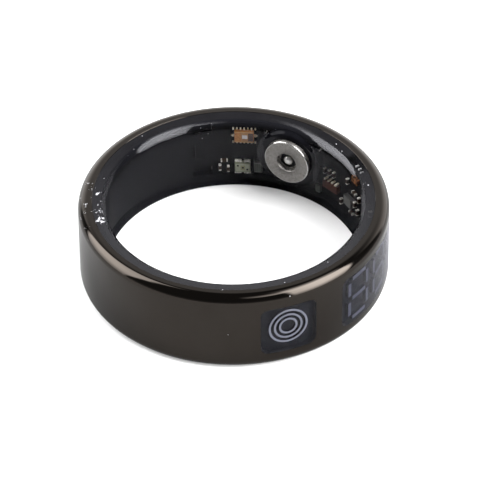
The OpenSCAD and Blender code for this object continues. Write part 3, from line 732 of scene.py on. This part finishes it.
# two azimuths and the share of the board's half width that a stretch has
FLEX = ((-116, -90, 0.84), (-92, -53, 1), (-54, -49, 0.62), (-50, 99, 1), (98, 106, 0.7))
curved_piece("main_flex_board", [(a, b, -s * BOARD_HALF, s * BOARD_HALF, BOARD, RIM) for a, b, s in FLEX],
             "black_board")
high = 0.9 * BOARD_HALF
curved_piece("board_stiffener", [(a, b, -high, high, RIM, RIM + 0.12) for a, b in ((53, 72), (75, 99))],
             "sheet_steel")
curved_piece("battery_wrap", [(108.4, 238, -2.6, 2.6, 10.80, 10.86)], "black_film")
curved_piece("battery_tabs", [(103, 112, k * 1.2 - 0.45, k * 1.2 + 0.45, 11.30, 11.36) for k in (-1, 1)],
             "black_film")
high = 0.84 * BOARD_HALF
curved_piece("battery_protection_board", [(236, 244, -high, high, BOARD, RIM)], "green_board")


# ---------------------------------------------------------------- repeated small parts

def seat(width):
    """Distance from the ring axis of the back of a flat part that stands on the curved board."""
    return math.sqrt(BOARD ** 2 - (width / 2) ** 2) - 0.02


def block_tree(name):
    """Puts a block on each point of a mesh, turned and sized by the point's own attributes.

    Grow scales every block about its own middle.
    """
    tree = bpy.data.node_groups.new(name, "GeometryNodeTree")
    face = tree.interface
    face.new_socket("Points", in_out="INPUT", socket_type="NodeSocketGeometry")
    face.new_socket("Finish", in_out="INPUT", socket_type="NodeSocketMaterial")
    grow = face.new_socket("Grow", in_out="INPUT", socket_type="NodeSocketFloat")
    grow.default_value = 1.0
    face.new_socket("Blocks", in_out="OUTPUT", socket_type="NodeSocketGeometry")
    nodes, links = tree.nodes, tree.links
    start = nodes.new("NodeGroupInput")
    end = nodes.new("NodeGroupOutput")
    cube = nodes.new("GeometryNodeMeshCube")
    scale = nodes.new("ShaderNodeVectorMath")
    scale.operation = "SCALE"
    place = nodes.new("GeometryNodeInstanceOnPoints")
    for label, target in (("turn", place.inputs["Rotation"]), ("size", scale.inputs[0])):
        stored = nodes.new("GeometryNodeInputNamedAttribute")
        stored.data_type = "FLOAT_VECTOR"
        stored.inputs["Name"].default_value = label
        links.new(stored.outputs[0], target)
    real = nodes.new("GeometryNodeRealizeInstances")
    paint = nodes.new("GeometryNodeSetMaterial")
    cube.inputs["Size"].default_value = (1, 1, 1)
    links.new(start.outputs["Grow"], scale.inputs["Scale"])
    links.new(scale.outputs[0], place.inputs["Scale"])
    links.new(start.outputs["Points"], place.inputs["Points"])
    links.new(cube.outputs["Mesh"], place.inputs["Instance"])
    links.new(place.outputs[0], real.inputs[0])
    links.new(real.outputs[0], paint.inputs["Geometry"])
    links.new(start.outputs["Finish"], paint.inputs["Material"])
    links.new(paint.outputs[0], end.inputs["Blocks"])
    return tree, {s.name: s.identifier for s in face.items_tree if s.in_out == "INPUT"}


BLOCKS, BLOCK_INPUTS = block_tree("blocks_on_points")


def blocks(name, items, finish, stands_for, bevel):
    """items: (azimuth, z, radius of its middle, shift across, depth, width, height) of each block."""
    mesh = bpy.data.meshes.new(name + "_points")
    places, turns, sizes = [], [], []
    for az, z, r, shift, depth, width, height in items:
        x, y = r * cosd(az) - shift * sind(az), r * sind(az) + shift * cosd(az)
        places.append(Vector((x, y, MID + z)) * MM)
        turns.append((0, 0, math.radians(az)))
        sizes.append((depth * MM, width * MM, height * MM))
    mesh.from_pydata(places, [], [])
    for label, values in (("turn", turns), ("size", sizes)):
        layer = mesh.attributes.new(label, "FLOAT_VECTOR", "POINT")
        layer.data.foreach_set("vector", np.array(values, np.float32).ravel())
    source = bpy.data.objects.new(name + "_points", mesh)
    bpy.context.scene.collection.objects.link(source)
    modifier = source.modifiers.new("blocks", "NODES")
    modifier.node_group = BLOCKS
    modifier[BLOCK_INPUTS["Finish"]] = finishes[finish]
    modifier[BLOCK_INPUTS["Grow"]] = 1.0
    bpy.context.view_layer.update()
    grown = source.evaluated_get(bpy.context.evaluated_depsgraph_get())
    result = bpy.data.meshes.new_from_object(grown)
    bpy.data.objects.remove(source)
    edit = bmesh.new()
    edit.from_mesh(result)
    bmesh.ops.bevel(edit, geom=list(edit.edges), offset=bevel * MM, segments=2, affect="EDGES", profile=0.5)
    edit.to_mesh(result)
    edit.free()
    result.materials.clear()
    result.materials.append(finishes[finish])
    result.polygons.foreach_set("material_index", [0] * len(result.polygons))
    result.name = name
    return add_piece(name, result, stands_for)


# azimuth, height as a share of the board's half width, and 1 where it lies across the board
capacitors = [
    (46.9, -0.02, 0), (44.2, 0, 0), (41.5, 0.01, 0), (50, 0, 1), (49.9, 0.58, 0), (36.5, -0.79, 0),
    (32.1, 0.2, 0), (26.5, 0, 1), (22, -0.05, 0), (26, -0.42, 0), (28.6, -0.87, 1), (23.4, -0.6, 0),
    (93.9, -0.46, 1), (95.8, -0.72, 0), (92.2, -0.79, 0), (74.2, 0.72, 1), (-20, 0.55, 0), (-20, -0.55, 0),
    (3, 0.5, 0), (3, -0.5, 0), (-46, 0.6, 0), (-46, -0.6, 0), (-67.6, 0.6, 1), (-67.6, -0.6, 1),
    (-88, 0.4, 0)]
top = seat(0.6) - 0.15
bodies, ends = [], []
for az, share, lying in capacitors:
    z = share * BOARD_HALF
    if lying:
        bodies.append((az, z, top, 0, 0.28, 0.38, 0.26))
        ends += [(az, z, top, k * 0.24, 0.3, 0.10, 0.22) for k in (-1, 1)]
    else:
        bodies.append((az, z, top, 0, 0.28, 0.26, 0.38))
        ends += [(az, z + k * 0.24, top, 0, 0.3, 0.22, 0.10) for k in (-1, 1)]
blocks("capacitor_bodies", bodies, "brown_ceramic", ["ceramic_capacitors"], 0.02)
blocks("capacitor_ends", ends, "tin", ["capacitor_terminals"], 0.04)

bar_len = DIGIT_W - 2 * STROKE - 2 * BAR_GAP
post_len = (DIGIT_H - 3 * STROKE) / 2 - 2 * BAR_GAP
bar_z = (DIGIT_H - STROKE) / 2
post_deg = mm_deg((DIGIT_W - STROKE) / 2)
BAR_DEPTH = 0.6
bar_r = BAR_TOP - BAR_DEPTH / 2
bars = []
for az in DIGIT_AZ:
    bars += [(az, DISPLAY_Z + k * bar_z, bar_r, 0, BAR_DEPTH, bar_len, STROKE) for k in (-1, 0, 1)]
    bars += [(az + s * post_deg, DISPLAY_Z + k * bar_z / 2, bar_r, 0, BAR_DEPTH, STROKE, post_len)
             for s in (-1, 1) for k in (-1, 1)]
bars += [(DISPLAY_AZ, DISPLAY_Z + k * 0.21 * DIGIT_H, bar_r, 0, BAR_DEPTH, STROKE, STROKE) for k in (-1, 1)]
blocks("display_bars", bars, "bar_light", ["display_segments"], 0.03)

RING_R, RING_PITCH, RING_LINE, RING_FOOT, RING_BEVEL = 1.68, 0.435, 0.21, 12.12, 0.03
ring_points, ring_faces = [], []
for k in range(3):
    r = RING_R - k * RING_PITCH
    side = RING_TOP - RING_BEVEL
    rows = [(r - RING_LINE, RING_FOOT), (r, RING_FOOT), (r, side), (r - RING_BEVEL, RING_TOP),
            (r - RING_LINE + RING_BEVEL, RING_TOP), (r - RING_LINE, side)]
    more, their = spin_about(TOUCH_AZ, TOUCH_Z, rows)
    ring_faces += [tuple(v + len(ring_points) for v in face) for face in their]
    ring_points += more
make_piece("touch_rings", ring_points, ring_faces, "ring_light", ["touch_ring_lights"])


# ---------------------------------------------------------------- sensors

SENSOR_AZ, SENSOR_Z, SENSOR_W, SENSOR_H = 85.2, 0.507 * BOARD_HALF, 1.64, 1.15
EMITTER_AZ, EMITTER_Z, EMITTER_W, EMITTER_H = 85.9, -1.88, 1.34, 1.0
MOTION_AZ, MOTION_Z, MOTION_W = 42.4, -0.43 * BOARD_HALF, 1.7


def flat_patch(name, az, z, width, height, thick, finish, stands_for, edge=0.03):
    """A small flat part with rounded edges; its patch coordinates run across and along in millimetres."""
    base = seat(width)
    edit = bmesh.new()
    bmesh.ops.create_cube(edit, size=1.0)
    for v in edit.verts:
        v.co = Vector((v.co.x * thick, v.co.y * width, v.co.z * height)) * MM
    bmesh.ops.bevel(edit, geom=list(edit.edges), offset=edge * MM, segments=3, affect="EDGES", profile=0.5)
    layer = edit.loops.layers.uv.new("Patch")
    for face in edit.faces:
        for loop in face.loops:
            loop[layer].uv = (-loop.vert.co.y / MM, loop.vert.co.z / MM)
    outward = Matrix.Translation(Vector((base - thick / 2, 0, 0)) * MM)
    turn = Matrix.Rotation(math.radians(az), 4, "Z")
    edit.transform(Matrix.Translation((0, 0, (MID + z) * MM)) @ (turn @ outward))
    mesh = bpy.data.meshes.new(name)
    edit.to_mesh(mesh)
    edit.free()
    mesh.materials.append(finishes[finish])
    mesh.shade_smooth()
    mesh.set_sharp_from_angle(angle=math.radians(50))
    return add_piece(name, mesh, stands_for)


def sensor_finish():
    """Amber laminate, a duller field in the middle, a dark one at one end and a pale line on either side."""
    f = Finish("sensor_face")
    u, v, _ = f.split(f.patch())
    place = f.place()
    spots = f.noise(place, 6.0, 3.0, 0.7)
    amber = f.mix(f.fit_range(spots, 0.35, 0.7), (0.29, 0.105, 0.03), (0.50, 0.23, 0.065))
    dull = f.mix(spots, (0.24, 0.12, 0.05), (0.40, 0.22, 0.10))
    middle = (abs(u - 0.10) < 0.36) * (abs(v) < 0.46)
    field = (abs(u - 0.56) < 0.21) * (abs(v) < 0.42)
    colour = f.mix(middle, amber, dull)
    colour = f.mix(field, colour, (0.065, 0.028, 0.022))
    line = abs(abs(v) - 0.50) < 0.035
    colour = f.mix(line * 0.6, colour, (0.62, 0.42, 0.20))
    return f.surface(Base_Color=colour, Roughness=0.4)


def die_finish():
    f = Finish("die_face")
    u = f.split(f.patch())[0]
    colour = f.mix(f.fit_range(f.sine(u * 70.0), -0.2, 0.6), (0.42, 0.40, 0.42), (0.85, 0.82, 0.80))
    return f.surface(Base_Color=colour, Roughness=0.3)


def emitter_finish():
    f = Finish("emitter_face")
    u, v, _ = f.split(f.patch())
    tone = f.noise(f.place(), 7.0, 4.0, 0.7)
    colour = f.mix(tone, (0.27, 0.29, 0.20), (0.50, 0.52, 0.40))
    frame_line = ((abs(v) > 0.40) + (abs(u) > 0.60)).clip()
    colour = f.mix(frame_line * 0.7, colour, (0.12, 0.13, 0.08))
    cup = (abs(u - 0.02) < 0.20) * (abs(v) < 0.26)
    colour = f.mix(cup * 0.6, colour, (0.22, 0.21, 0.10))
    return f.surface(Base_Color=colour, Roughness=0.35)


def detector_finish():
    f = Finish("detector_face")
    u, v, _ = f.split(f.patch())
    colour = f.mix(f.fit_range(f.sine(u * 42.0), -1, 1), (0.055, 0.065, 0.05), (0.105, 0.12, 0.095))
    colour = f.mix((abs(v) > 0.42) * 0.8, colour, (0.22, 0.22, 0.20))
    return f.surface(Base_Color=colour, Roughness=0.35)


finishes["sensor_face"] = sensor_finish()
finishes["die_face"] = die_finish()
finishes["emitter_face"] = emitter_finish()
finishes["detector_face"] = detector_finish()

flat_patch("sensor_body", SENSOR_AZ, SENSOR_Z, SENSOR_W, SENSOR_H, 0.35, "sensor_face",
           ["optical_sensor"])
flat_patch("sensor_die", SENSOR_AZ - 0.3, SENSOR_Z + 0.02, 0.44, 0.36, 0.40, "die_face",
           ["optical_sensor_die"], 0.01)
PAD_T, PAD_PITCH = 0.12, 0.31
pad_r = seat(2.24) - PAD_T / 2
pads = []
for k in (-1, 1):
    pads += [(SENSOR_AZ, SENSOR_Z + k * (SENSOR_H / 2 + 0.13), pad_r, (i - 3) * PAD_PITCH, PAD_T, 0.13, 0.22)
             for i in range(7)]
for shift, width, height in ((0.93, 0.18, 0.26), (1.06, 0.12, 0.10)):
    pads += [(SENSOR_AZ, SENSOR_Z, pad_r, s * shift, PAD_T, width, height) for s in (-1, 1)]
blocks("sensor_pads", pads, "gold", ["optical_sensor_pads"], 0.025)

flat_patch("emitter_body", EMITTER_AZ, EMITTER_Z, EMITTER_W, EMITTER_H, 0.4, "emitter_face",
           ["sensor_led_package"], 0.04)
waves = []
for k in (-1, 1):
    for s in (-1, 1):
        for shift, drop in ((-0.19, 0.02), (0, 0), (0.19, 0.02)):
            z = EMITTER_Z + k * (EMITTER_H / 2 + 0.11 - drop)
            waves.append((EMITTER_AZ, z, seat(EMITTER_W) - 0.15, s * 0.39 + shift, 0.3, 0.2, 0.16))
blocks("emitter_terminals", waves, "tin", ["sensor_led_terminals"], 0.05)
dies = [(EMITTER_AZ, EMITTER_Z + rise, seat(EMITTER_W) - 0.41, shift, 0.05, 0.16, 0.16)
        for shift, rise in ((0.40, 0.22), (-0.02, 0.02), (-0.40, -0.16))]
blocks("emitter_dies", dies, "epoxy", ["sensor_led_dies"], 0.02)
flat_patch("tall_detector", 79.1, -0.67 * BOARD_HALF, 0.71, 1.0, 0.35, "detector_face", ["photodiodes"])
flat_patch("side_detector", 50.2, -0.82 * BOARD_HALF, 0.45, 0.8, 0.35, "detector_face", [])
flat_patch("motion_body", MOTION_AZ, MOTION_Z, MOTION_W, 0.8, 0.45, "brown_laminate", ["motion_sensor"])
pads = [(MOTION_AZ, MOTION_Z + 0.48, seat(MOTION_W) - 0.225, (i - 1.5) * 0.42, 0.45, 0.16, 0.16)
        for i in range(4)]
blocks("motion_pads", pads, "gold", ["motion_sensor_pads"], 0.03)
clips = [(az, 2.81, 11.485, 0, 0.45, 0.14, 0.14) for az in (21.6, 24, 26.3)]
blocks("clip_fingers", clips, "bright_tin", ["ground_clips"], 0.02)


# ---------------------------------------------------------------- other carried-over parts

carried = {
    "touch_window_gasket": "foam", "display_window_gasket": "foam", "touch_light_mask": "mask",
    "display_light_mask": "mask", "touch_light_guide": "light_guide", "touch_leds": "pale_ceramic",
    "touch_electrode": "copper", "touch_board": "black_board", "display_led_dies": "pale_ceramic",
    "display_board": "black_board", "battery_cell": "black_film", "contact_leads": "gold",
    "radio_chip": "epoxy", "charger_chip": "epoxy", "memory_chip": "epoxy", "crystal": "sheet_steel",
    "power_inductor": "ferrite", "chip_antenna": "cream_ceramic", "temperature_sensor": "amber",
    "display_driver_chip": "epoxy", "test_pads": "gold",
}
for node, finish in carried.items():
    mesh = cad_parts[node].data
    mesh.materials.clear()
    mesh.materials.append(finishes[finish])


# ---------------------------------------------------------------- stage, light and camera

def floor_finish():
    """White paper with a shadow to the eye, and duller for the light that it sends into the ring."""
    f = Finish("floor")
    fibre = f.noise(f.place(), 0.6, 5.0, 0.6)
    dull = f.mix(fibre, (0.345, 0.345, 0.345), (0.378, 0.378, 0.378))
    pale = f.mix(fibre, (0.86, 0.86, 0.86), (0.94, 0.94, 0.94))
    eye = f.output(f.add("ShaderNodeLightPath", {}), "Is Camera Ray")
    paint = f.principled(Base_Color=f.mix(eye, dull, pale), Roughness=0.8, Specular_IOR_Level=0.2)
    white = f.add("ShaderNodeEmission", {}, Color=(1, 1, 1, 1), Strength=1.0)
    return f.close(f.join(eye * 0.25, paint, white))


floor_mesh = bpy.data.meshes.new("floor")
floor_mesh.from_pydata([(-3, -3, 0), (3, -3, 0), (3, 3, 0), (-3, 3, 0)], [], [(0, 1, 2, 3)])
floor_mesh.materials.append(floor_finish())
floor = bpy.data.objects.new("floor", floor_mesh)
bpy.context.scene.collection.objects.link(floor)


def heading(az, el):
    return Vector((cosd(az) * cosd(el), sind(az) * cosd(el), sind(el)))


def light_field(g, view, corners, soft):
    """Share of a softbox seen from the ring; along its lower edge the corners run to larger azimuths."""
    share = 1.0
    for a, b in zip(corners, corners[1:] + corners[:1]):
        edge = heading(*a).cross(heading(*b)).normalized()
        share = share * g.fit_range(g.dot(view, *edge), -soft, soft)
    return share


# Two softboxes, a glow between them at the top, a backdrop and a haze over the floor light the ring;
# the eye sees plain white behind it.
world = bpy.data.worlds.new("studio")
bpy.context.scene.world = world
g = Graph(world, "ShaderNodeOutputWorld")
view = g.add("ShaderNodeTexCoord", {})
height = g.height(view)
right_corners = [(-51, -3), (-13, -3), (22.5, 55.5), (20, 72), (-14, 75), (-31, 70), (-50.5, 32)]
left_corners = [(157.5, -3), (193, -3), (191.5, 38), (174, 61), (150, 66), (103, 60)]
right_box = light_field(g, view, right_corners, 0.03)
left_box = light_field(g, view, left_corners, 0.025)
right_level = (g.fit_range(height, 0.0, 0.5, 2.9, 14.7)
               * g.fit_range(g.toward(view, -6), 0.743, 1.0, 0.75, 1.08)
               * g.fit_range(height, 0.985, 0.88, 0.3, 1.0))
left_level = (g.fit_range(height, 0.0, 0.5, 2.2, 9.9)
              * g.fit_range(g.toward(view, 150), 0.766, 0.996, 0.75, 1.0)
              * g.fit_range(height, 0.75, 0.90, 1.0, 0.7))
glow = (g.fit_range(height, 0.835, 0.87) * g.fit_range(height, 0.985, 0.90, 0.0, 8.5)
        * g.fit_range(g.toward(view, -10), 0.26, 0.97) * (1.0 - right_box))
backdrop = g.fit_range(g.toward(view, 81), 0.60, 0.69) * g.fit_range(height, 0.77, 0.42)
haze = g.fit_range(height, 0.30, 0.0, 0.0, 0.38)
level = right_box * right_level + left_box * left_level + glow + backdrop * 2.5 + haze + 0.15
room = g.add("ShaderNodeBackground", {}, (1, 1, 1, 1), level)
white = g.add("ShaderNodeBackground", {}, (1, 1, 1, 1), 1.0)
g.close(g.join(g.add("ShaderNodeLightPath", {}), room, white))

bpy.context.scene.view_settings.view_transform = "Standard"

TILT, AWAY = 39.47, 0.3227  # the camera's elevation, and its distance in metres
camera_data = bpy.data.cameras.new("camera")
camera_data.lens = 283.5
camera_data.sensor_width = 36.0
camera_data.shift_x = 0.0319
camera_data.shift_y = -0.0344
camera_data.clip_start = 0.01
camera = bpy.data.objects.new("camera", camera_data)
centre = Vector((0, 0, MID * MM))
back = Vector((0, -cosd(TILT), sind(TILT)))
camera.location = centre + back * AWAY
turn = (-back).to_track_quat("-Z", "Y").to_matrix() @ Matrix.Rotation(math.radians(-0.61), 3, "Z")
camera.rotation_euler = turn.to_euler()
bpy.context.scene.collection.objects.link(camera)
bpy.context.scene.camera = camera
